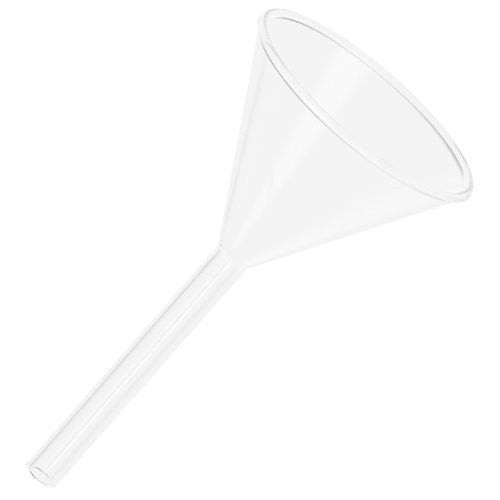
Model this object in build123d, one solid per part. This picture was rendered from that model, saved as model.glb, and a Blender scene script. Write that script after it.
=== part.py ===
from build123d import *
import math
import os

# Glass laboratory funnel: a straight-sided cone of revolution, sealed to a length of tubing.
# Millimetres and degrees. +Z runs up the axis to the mouth, and the origin is on the axis at
# the top of the straight stem, where the neck's seal begins.

# Driving dimensions
rim_od = 75.0             # mouth, over the outside of its bead
rim_bead_od = 2.8         # round bead that the cone's upper edge is melted into
bead_root_radius = 0.6    # fillet each side, where the wall swells into the bead
bead_reach = 2.0          # plain wall that the bead takes in below its root
cone_angle = 58.5         # included angle between opposite sides of the cone
cone_wall = 1.4           # measured square to the cone
stem_od = 10.2
stem_wall = 1.4
stem_length = 77.5        # from the seal to the end of the tip
neck_radius = 5.0         # outside bend from the stem into the cone
seal_reach = 4.35         # plain wall that the seal takes in beyond each end of its bend
tip_reach = 3.0           # length of stem softened when its end is fire-polished

# Sizes that follow. Profiles are drawn on the XZ plane, as (radius, height).
half_angle = math.radians(cone_angle / 2)
up_cone = Vector(math.sin(half_angle), math.cos(half_angle))
into_bowl = Vector(-math.cos(half_angle), math.sin(half_angle))
stem_radius = stem_od / 2
bore_radius = stem_radius - stem_wall

# The outer surfaces of the stem and the cone would meet at this corner, and the bend's two
# tangent points are one tangent length from it.
outer_tangent = neck_radius * math.tan(half_angle / 2)
outer_corner = Vector(stem_radius, seal_reach + outer_tangent)

# The bore and the cone's inner surface would meet here. The inner bend follows the outer one,
# a wall thickness further from their common centre.
inner_bend = neck_radius + stem_wall
inner_tangent = inner_bend * math.tan(half_angle / 2)
inner_corner_rise = (cone_wall - stem_wall * math.cos(half_angle)) / math.sin(half_angle)
inner_corner = Vector(bore_radius, outer_corner.Y + inner_corner_rise)

# Distances up the cone's outer surface from the outer corner
bead_radius = rim_bead_od / 2
bead_centre_radius = rim_od / 2 - bead_radius
wall_middle_offset = cone_wall / 2 * math.cos(half_angle)
bead_run = (bead_centre_radius - stem_radius + wall_middle_offset) / math.sin(half_angle)
root_offset = cone_wall / 2 + bead_root_radius
root_length = math.sqrt((bead_radius + bead_root_radius) ** 2 - root_offset ** 2)
bowl_start = outer_tangent + seal_reach
bowl_end = bead_run - root_length - bead_reach


def across_wall(run):
    """The outer and inner ends of a cut square through the cone's wall."""
    outer = outer_corner + up_cone * run
    return outer, outer + into_bowl * cone_wall


def revolved(profile):
    """Turns a closed profile, drawn as (radius, height), into a solid about the axis."""
    return revolve(Plane.XZ * profile, axis=Axis.Z)


def rim_bead():
    """The melted edge: a round bead centred on the wall, on a short filleted root."""
    half_wall = cone_wall / 2
    touch = Vector(root_offset, -root_length) * (bead_radius / (bead_radius + bead_root_radius))
    outer_root = Vector(half_wall, -root_length)
    inner_root = Vector(-half_wall, -root_length)
    outer_foot = outer_root - Vector(0, bead_reach)
    inner_foot = inner_root - Vector(0, bead_reach)
    edges = [
        Line(inner_foot, outer_foot),
        Line(outer_foot, outer_root),
        TangentArc(outer_root, touch, tangent=(0, 1)),
        ThreePointArc(touch, (0, bead_radius), (-touch.X, touch.Y)),
        TangentArc(inner_root, (-touch.X, touch.Y), tangent=(0, 1)),
        Line(inner_root, inner_foot),
    ]
    centre = outer_corner + up_cone * bead_run + into_bowl * half_wall
    return revolved(Pos(centre.X, centre.Y) * Rot(0, 0, -cone_angle / 2) * make_face(edges))


def cone_bowl():
    """The straight wall of the cone, from the neck's seal to the root of the bead."""
    lower_outer, lower_inner = across_wall(bowl_start)
    upper_outer, upper_inner = across_wall(bowl_end)
    return revolved(make_face(Polyline(lower_outer, upper_outer, upper_inner, lower_inner, close=True)))


def neck_seal():
    """The seal: the cone's point opened out and bent into line with the stem."""
    bend_start = Vector(stem_radius, seal_reach)
    bend_end = outer_corner + up_cone * outer_tangent
    inner_start = inner_corner - Vector(0, inner_tangent)
    inner_end = inner_corner + up_cone * inner_tangent
    top_outer, top_inner = across_wall(bowl_start)
    foot_outer = Vector(stem_radius, 0)
    foot_inner = Vector(bore_radius, 0)
    edges = [
        Line(foot_inner, foot_outer),
        Line(foot_outer, bend_start),
        TangentArc(bend_start, bend_end, tangent=(0, 1)),
        Line(bend_end, top_outer),
        Line(top_outer, top_inner),
        Line(top_inner, inner_end),
        TangentArc(inner_start, inner_end, tangent=(0, 1)),
        Line(inner_start, foot_inner),
    ]
    return revolved(make_face(edges))


def stem_tube():
    """The length of plain tubing below the seal."""
    height = stem_length - tip_reach
    section = Rectangle(stem_wall, height, align=(Align.MAX, Align.MAX))
    return revolved(Pos(stem_radius, 0) * section)


def stem_tip():
    """The fire-polished end: both corners of the tube's cut end melted to one full round."""
    round_radius = stem_wall / 2
    round_height = tip_reach - round_radius
    outer_top = Vector(stem_wall, 0)
    outer_low = Vector(stem_wall, -round_height)
    inner_low = Vector(0, -round_height)
    edges = [
        Line((0, 0), outer_top),
        Line(outer_top, outer_low),
        ThreePointArc(outer_low, (round_radius, -tip_reach), inner_low),
        Line(inner_low, (0, 0)),
    ]
    return revolved(Pos(bore_radius, tip_reach - stem_length) * make_face(edges))


os.makedirs("parts", exist_ok=True)
for build in (rim_bead, cone_bowl, neck_seal, stem_tube, stem_tip):
    export_step(build(), f"parts/{build.__name__}.step")
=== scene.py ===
import math

import bmesh
import bpy
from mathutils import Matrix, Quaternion, Vector


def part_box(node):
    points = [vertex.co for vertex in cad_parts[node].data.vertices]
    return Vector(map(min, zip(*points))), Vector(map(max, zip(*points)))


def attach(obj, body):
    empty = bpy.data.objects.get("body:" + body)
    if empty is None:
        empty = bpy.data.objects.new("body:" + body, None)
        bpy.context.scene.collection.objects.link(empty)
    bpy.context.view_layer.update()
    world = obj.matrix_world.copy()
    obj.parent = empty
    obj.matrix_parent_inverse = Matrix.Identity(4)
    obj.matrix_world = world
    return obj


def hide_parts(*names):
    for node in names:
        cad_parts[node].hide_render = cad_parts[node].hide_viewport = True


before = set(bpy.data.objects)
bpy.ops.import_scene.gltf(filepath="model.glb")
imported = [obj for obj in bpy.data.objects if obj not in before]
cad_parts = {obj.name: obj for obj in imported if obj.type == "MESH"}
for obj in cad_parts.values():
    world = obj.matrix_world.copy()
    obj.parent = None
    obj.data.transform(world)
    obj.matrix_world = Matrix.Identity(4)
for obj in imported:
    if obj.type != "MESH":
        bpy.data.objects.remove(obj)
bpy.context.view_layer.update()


# ---- Stem tube --------------------------------------------------------------------------
# Plain drawn borosilicate tubing, straight and even, with faint lines that run along it
# from the draw. Its upper end is melted into the neck's seal and its lower end into the
# polished tip, so no boundary is left there in the glass.
turns_round = 360
wall_rows = 12
touching = 0.000001
stem_wall = 0.0014
tube_low, tube_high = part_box("stem_tube")
stem_radius = tube_high.x
bore_radius = stem_radius - stem_wall


def start_profile(place):
    """A new mesh with one vertex, from which a wall's section is drawn."""
    bm = bmesh.new()
    return bm, bmesh.ops.create_vert(bm, co=place)["vert"][0]


def run(bm, pen, place, steps):
    """Carries the section on in a straight line to this place."""
    start = pen.co.copy()
    for step in range(1, steps + 1):
        pen = bmesh.ops.extrude_vert_indiv(bm, verts=[pen])["verts"][0]
        pen.co = start.lerp(place, step / steps)
    return pen


def spin_wall(bm):
    """Closes the section and turns it about the axis."""
    bmesh.ops.remove_doubles(bm, verts=bm.verts, dist=touching)
    bmesh.ops.spin(bm, geom=bm.verts[:] + bm.edges[:], cent=(0, 0, 0), axis=(0, 0, 1),
                   dvec=(0, 0, 0), angle=math.tau, steps=turns_round, use_merge=True,
                   use_normal_flip=False, use_duplicate=False)


def mark_join(bm, place, along):
    """Marks the cut face, square to the wall at this place, that a neighbour is melted to."""
    for face in bm.faces:
        corners = [Vector((math.hypot(v.co.x, v.co.y), 0, v.co.z)) for v in face.verts]
        if max(abs(along.dot(corner - place)) for corner in corners) < touching:
            face.material_index = 1
            for edge in face.edges:
                edge.smooth = False


def finish_glass(bm, name, node):
    """Makes the piece, which stands for one CAD node, from its closed mesh."""
    bmesh.ops.recalc_face_normals(bm, faces=bm.faces)
    for face in bm.faces:
        face.smooth = face.material_index == 0
    mesh = bpy.data.meshes.new(name)
    bm.to_mesh(mesh)
    bm.free()
    mesh.materials.append(clear_glass)
    mesh.materials.append(melted_join)
    piece = bpy.data.objects.new(name, mesh)
    bpy.context.collection.objects.link(piece)
    piece.visible_shadow = False
    piece.visible_diffuse = False
    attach(piece, "root")
    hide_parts(node)


class Socket:
    """A node's output, which Python's operators turn into Math nodes. With none it only adds nodes."""

    def __init__(self, tree, output):
        self.tree = tree
        self.output = output

    def node(self, kind, settings, inputs, output=0):
        """Adds a node: its settings first, then the values or links of its sockets."""
        made = self.tree.nodes.new(kind)
        for name, value in settings.items():
            setattr(made, name, value)
        for name, value in inputs.items():
            if isinstance(value, Socket):
                self.tree.links.new(value.output, made.inputs[name])
            else:
                made.inputs[name].default_value = value
        return Socket(self.tree, made.outputs[output] if made.outputs else None)

    def math(self, operation, *values):
        """Adds a Math node."""
        return self.node("ShaderNodeMath", {"operation": operation}, dict(enumerate(values)))

    def __add__(self, other):
        return self.math("ADD", self, other)

    def __sub__(self, other):
        return self.math("SUBTRACT", self, other)

    def __rsub__(self, other):
        return self.math("SUBTRACT", other, self)

    def __mul__(self, other):
        return self.math("MULTIPLY", self, other)

    def __truediv__(self, other):
        return self.math("DIVIDE", self, other)

    def __rtruediv__(self, other):
        return self.math("DIVIDE", other, self)

    __radd__ = __add__
    __rmul__ = __mul__

    def fade(self, near, far):
        """1 below near and 0 above far, with a smooth change between."""
        ends = {"Value": self, "From Min": near, "From Max": far, "To Min": 1.0, "To Max": 0.0}
        return self.node("ShaderNodeMapRange", {"interpolation_type": "SMOOTHSTEP"}, ends, "Result")


# The glass is clear all through. Its skin has lines from the draw, which run with the wall, a
# slow waviness from the mould, and rings where the seal was worked. Depths are in metres, and
# what is counted along the wall or through it is counted for each metre.
draw_line_depth = 0.00002
draw_lines_round = 9
draw_lines_along = 5
wave_depth = 0.00008
waves_per_metre = 70
seal_ring_depth = 0.00012
seal_rings_along = 150
seal_rings_through = 350
seal_middle = 0.005
seal_worked = 0.004
seal_untouched = 0.012
film_roughness = 0.012
film_per_metre = 45
film_clean = 0.45
film_full = 0.75

clear_glass = bpy.data.materials.new("clear_glass")
clear_glass.use_nodes = True
glass_shader = clear_glass.node_tree.nodes["Principled BSDF"]
glass_shader.inputs["Base Color"].default_value = (1, 1, 1, 1)
glass_shader.inputs["IOR"].default_value = 1.474
glass_shader.inputs["Transmission Weight"].default_value = 1.0
skin = Socket(clear_glass.node_tree, None)
spot = skin.node("ShaderNodeTexCoord", {}, {}, "Object")
spot_parts = spot.node("ShaderNodeSeparateXYZ", {}, {"Vector": spot}).output.node
spot_x, spot_y, spot_z = (Socket(skin.tree, output) for output in spot_parts.outputs)
radius = skin.math("SQRT", spot_x * spot_x + spot_y * spot_y)
turned_x = spot_x / radius
turned_y = spot_y / radius

line_place = {
    "X": turned_x * draw_lines_round,
    "Y": turned_y * draw_lines_round,
    "Z": spot_z * draw_lines_along,
}
line_place = skin.node("ShaderNodeCombineXYZ", {}, line_place)
draw_lines = skin.node("ShaderNodeTexNoise", {}, {"Vector": line_place, "Scale": 1.0, "Detail": 2.0})
waves = {"Vector": spot, "Scale": waves_per_metre, "Detail": 1.0}
waves = skin.node("ShaderNodeTexNoise", {}, waves)
ring_place = {
    "X": turned_x,
    "Y": turned_y,
    "Z": spot_z * seal_rings_along + radius * seal_rings_through,
}
ring_place = skin.node("ShaderNodeCombineXYZ", {}, ring_place)
seal_rings = skin.node("ShaderNodeTexNoise", {}, {"Vector": ring_place, "Scale": 1.0, "Detail": 1.0})
worked = skin.math("ABSOLUTE", spot_z - seal_middle).fade(seal_worked, seal_untouched)
relief = draw_lines * draw_line_depth + waves * wave_depth + seal_rings * worked * seal_ring_depth
bump = skin.node("ShaderNodeBump", {}, {"Height": relief, "Distance": 1.0, "Strength": 1.0})
skin.tree.links.new(bump.output, glass_shader.inputs["Normal"])

# A film from handling dulls it a very little in patches.
film = {"Vector": spot, "Scale": film_per_metre, "Detail": 3.0}
film = skin.node("ShaderNodeTexNoise", {}, film)
film = (1 - film.fade(film_clean, film_full)) * film_roughness
skin.tree.links.new(film.output, glass_shader.inputs["Roughness"])

# The cut faces where two pieces are melted into one, which light passes as if nothing were there.
melted_join = bpy.data.materials.new("melted_join")
melted_join.use_nodes = True
melted_join.node_tree.nodes.clear()
join = Socket(melted_join.node_tree, None)
straight_through = join.node("ShaderNodeBsdfTransparent", {}, {})
join.node("ShaderNodeOutputMaterial", {}, {"Surface": straight_through})

axis = Vector((0, 0, 1))
foot_outer = Vector((stem_radius, 0, tube_low.z))
foot_inner = Vector((bore_radius, 0, tube_low.z))
head_outer = Vector((stem_radius, 0, tube_high.z))
head_inner = Vector((bore_radius, 0, tube_high.z))

bm, pen = start_profile(foot_outer)
pen = run(bm, pen, head_outer, wall_rows)
pen = run(bm, pen, head_inner, 1)
pen = run(bm, pen, foot_inner, wall_rows)
run(bm, pen, foot_outer, 1)
spin_wall(bm)
mark_join(bm, foot_outer, axis)
mark_join(bm, head_outer, axis)
finish_glass(bm, "stem_tubing", "stem_tube")


# ---- Stem tip ---------------------------------------------------------------------------
# The stem's cut end, held in a flame until both of its corners melted into one full round.
# It is the same tubing as the stem, with no join to it.
tip_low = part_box("stem_tip")[0]
tip_rows = 6
tip_steps = 48
tip_radius = stem_wall / 2
tip_centre = Vector((stem_radius - tip_radius, 0, tip_low.z + tip_radius))


def bend(bm, pen, centre, degrees, steps):
    """Carries the section on round a centre."""
    made = bmesh.ops.spin(bm, geom=[pen], cent=centre, axis=(0, 1, 0), dvec=(0, 0, 0),
                          angle=math.radians(degrees), steps=steps, use_merge=False,
                          use_normal_flip=False, use_duplicate=False)
    return next(v for v in made["geom_last"] if isinstance(v, bmesh.types.BMVert))


bm, pen = start_profile(foot_inner)
pen = run(bm, pen, Vector((bore_radius, 0, tip_centre.z)), tip_rows)
pen = bend(bm, pen, tip_centre, -180, tip_steps)
pen = run(bm, pen, foot_outer, tip_rows)
run(bm, pen, foot_inner, 1)
spin_wall(bm)
mark_join(bm, foot_outer, axis)
finish_glass(bm, "polished_tip", "stem_tip")


# ---- Neck seal --------------------------------------------------------------------------
# Where the cone's point was opened and melted onto the tubing, then drawn into one smooth
# bend. The glass is worked soft here, so it keeps faint rings round the axis.
half_angle = 29.25
cone_wall = 0.0014
neck_radius = 0.005
seal_reach = 0.00435
seal_rows = 4
neck_steps = 28
slope = math.radians(half_angle)
up_cone = Vector((math.sin(slope), 0, math.cos(slope)))
outward = Vector((math.cos(slope), 0, -math.sin(slope)))
neck_centre = Vector((stem_radius + neck_radius, 0, seal_reach))
bowl_foot_outer = neck_centre - outward * neck_radius + up_cone * seal_reach
bowl_foot_inner = bowl_foot_outer - outward * cone_wall

bm, pen = start_profile(head_outer)
pen = run(bm, pen, Vector((stem_radius, 0, seal_reach)), seal_rows)
pen = bend(bm, pen, neck_centre, half_angle, neck_steps)
pen = run(bm, pen, bowl_foot_outer, seal_rows)
pen = run(bm, pen, bowl_foot_inner, 1)
pen = run(bm, pen, bowl_foot_inner - up_cone * seal_reach, seal_rows)
pen = bend(bm, pen, neck_centre, -half_angle, neck_steps)
pen = run(bm, pen, head_inner, seal_rows)
run(bm, pen, head_outer, 1)
spin_wall(bm)
mark_join(bm, head_outer, axis)
mark_join(bm, bowl_foot_outer, up_cone)
finish_glass(bm, "neck_seal_glass", "neck_seal")


# ---- Cone bowl --------------------------------------------------------------------------
# The straight wall of the cone, of one even thickness. It is blown in a mould and turned
# while hot, which leaves only a slight waviness in the glass.
bead_radius = 0.0014
bead_root_radius = 0.0006
bead_reach = 0.002
rim_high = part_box("rim_bead")[1]
bead_centre = Vector((rim_high.x - bead_radius, 0, rim_high.z - bead_radius))
root_offset = cone_wall / 2 + bead_root_radius
root_span = bead_radius + bead_root_radius
root_turn = math.degrees(math.acos(root_offset / root_span))
root_length = root_span * math.sin(math.radians(root_turn))
outer_root = bead_centre + outward * root_offset - up_cone * root_length
inner_root = bead_centre - outward * root_offset - up_cone * root_length
bowl_top_outer = outer_root - outward * bead_root_radius - up_cone * bead_reach
bowl_top_inner = inner_root + outward * bead_root_radius - up_cone * bead_reach

bm, pen = start_profile(bowl_foot_outer)
pen = run(bm, pen, bowl_top_outer, wall_rows)
pen = run(bm, pen, bowl_top_inner, 1)
pen = run(bm, pen, bowl_foot_inner, wall_rows)
run(bm, pen, bowl_foot_outer, 1)
spin_wall(bm)
mark_join(bm, bowl_foot_outer, up_cone)
mark_join(bm, bowl_top_outer, up_cone)
finish_glass(bm, "cone_wall", "cone_bowl")


# ---- Rim bead ---------------------------------------------------------------------------
# The cone's upper edge, melted back on itself in a flame into a round bead that keeps the
# rim from chipping. A small fillet each side carries the wall into it.
bead_rows = 3
root_steps = 20
bead_steps = 100

bm, pen = start_profile(bowl_top_outer)
pen = run(bm, pen, outer_root - outward * bead_root_radius, bead_rows)
pen = bend(bm, pen, outer_root, root_turn, root_steps)
pen = bend(bm, pen, bead_centre, -180 - 2 * root_turn, bead_steps)
pen = bend(bm, pen, inner_root, root_turn, root_steps)
pen = run(bm, pen, bowl_top_inner, bead_rows)
run(bm, pen, bowl_top_outer, 1)
spin_wall(bm)
mark_join(bm, bowl_top_outer, up_cone)
finish_glass(bm, "rim_bead_glass", "rim_bead")


# ---- Camera -----------------------------------------------------------------------------
# A long lens a little above the mouth, rolled so that the funnel leans over to the right.
view_height = 16.6
view_roll = 41.3
view_distance = 3.0
view_width = 0.1355
aim = Vector((0.00236, 0, 0.01046))
view_rise = math.radians(view_height)
back = Vector((0, -math.cos(view_rise), math.sin(view_rise)))
camera = bpy.data.objects.new("camera", bpy.data.cameras.new("camera"))
camera.data.sensor_width = 36
camera.data.lens = camera.data.sensor_width * view_distance / view_width
camera.data.clip_start = 0.1
camera.data.clip_end = 100
camera.location = aim + back * view_distance
camera.rotation_mode = "QUATERNION"
level = (-back).to_track_quat("-Z", "Y")
camera.rotation_quaternion = level @ Quaternion((0, 0, 1), math.radians(view_roll))
bpy.context.collection.objects.link(camera)
bpy.context.scene.camera = camera


# ---- Studio -----------------------------------------------------------------------------
# A white tent that the glass sees a little dimmer than the camera does, with soft dark cards and
# light panels hung in it, and a plain pale floor a little below the funnel's tip.
tent_light = 0.9
backdrop_light = 1.2
glass_bounces = 512
join_bounces = 64
panel_full = 0.5
panel_gone = 1.3
floor_drop = 0.002
floor_half = 12.0
floor_white = 0.93

# Each panel is a soft oval: its turn from the far side, its height, its half width and its half
# height, in degrees, and its light.
panels = {
    "dark_back": (-78, -18, 25, 18, 0.28),
    "dark_top": (-6.5, 28, 7, 25, 0.0),
    "dark_right": (5, 5, 5, 12, 0.5),
    "dark_left": (-30, -41, 14, 5, 0.55),
    "dark_side": (94, -14, 12, 18, 0.65),
    "dark_front": (133, 6, 9, 11, 0.2),
    "dark_middle": (-178, -17, 8, 12, 0.6),
    "softbox": (138, 44, 22, 16, 1.5),
    "strip_left": (-161, -17, 5, 9, 1.75),
    "strip_right": (165, -17, 5, 9, 1.75),
    "low_glow": (135, -42, 90, 22, 1.1),
    "back_glow": (-65, 0, 70, 20, 1.02),
}

world = bpy.data.worlds.new("studio")
world.use_nodes = True
bpy.context.scene.world = world
bpy.context.scene.view_settings.view_transform = "Standard"
bpy.context.scene.cycles.max_bounces = glass_bounces
bpy.context.scene.cycles.glossy_bounces = glass_bounces
bpy.context.scene.cycles.transmission_bounces = glass_bounces
bpy.context.scene.cycles.transparent_max_bounces = join_bounces
world.node_tree.nodes.clear()
studio = Socket(world.node_tree, None)
sky = studio.node("ShaderNodeTexCoord", {}, {}, "Generated")
sky_parts = sky.node("ShaderNodeSeparateXYZ", {}, {"Vector": sky}).output.node
east, north, up = (Socket(world.node_tree, output) for output in sky_parts.outputs)
sky_turn = east.math("ARCTAN2", east, north) * math.degrees(1)
sky_height = up.math("ARCSINE", up) * math.degrees(1)
light = tent_light
for panel_turn, panel_height, half_wide, half_tall, panel_light in panels.values():
    across = (sky_turn - panel_turn) / half_wide
    upwards = (sky_height - panel_height) / half_tall
    distance = studio.math("SQRT", across * across + upwards * upwards)
    light = light + distance.fade(panel_full, panel_gone) * (panel_light - tent_light)
path = studio.node("ShaderNodeLightPath", {}, {}).output.node
seen_by_camera = Socket(world.node_tree, path.outputs["Is Camera Ray"])
seen_by_floor = Socket(world.node_tree, path.outputs["Is Diffuse Ray"])
plain = studio.math("MAXIMUM", seen_by_camera, seen_by_floor)
strength = light + plain * (backdrop_light - light)
glow = studio.node("ShaderNodeBackground", {}, {"Color": (1, 1, 1, 1), "Strength": strength})
studio.node("ShaderNodeOutputWorld", {}, {"Surface": glow})

bm = bmesh.new()
bmesh.ops.create_grid(bm, x_segments=1, y_segments=1, size=floor_half)
bmesh.ops.translate(bm, verts=bm.verts, vec=(0, 0, tip_low.z - floor_drop))
floor_mesh = bpy.data.meshes.new("floor")
bm.to_mesh(floor_mesh)
bm.free()
floor = bpy.data.objects.new("floor", floor_mesh)
bpy.context.collection.objects.link(floor)
floor_paint = bpy.data.materials.new("floor_paint")
floor_paint.use_nodes = True
floor_shader = floor_paint.node_tree.nodes["Principled BSDF"]
floor_shader.inputs["Base Color"].default_value = (floor_white, floor_white, floor_white, 1)
floor_shader.inputs["Roughness"].default_value = 1.0
floor_shader.inputs["Specular IOR Level"].default_value = 0.0
floor_mesh.materials.append(floor_paint)
floor.visible_transmission = False
floor.visible_glossy = False
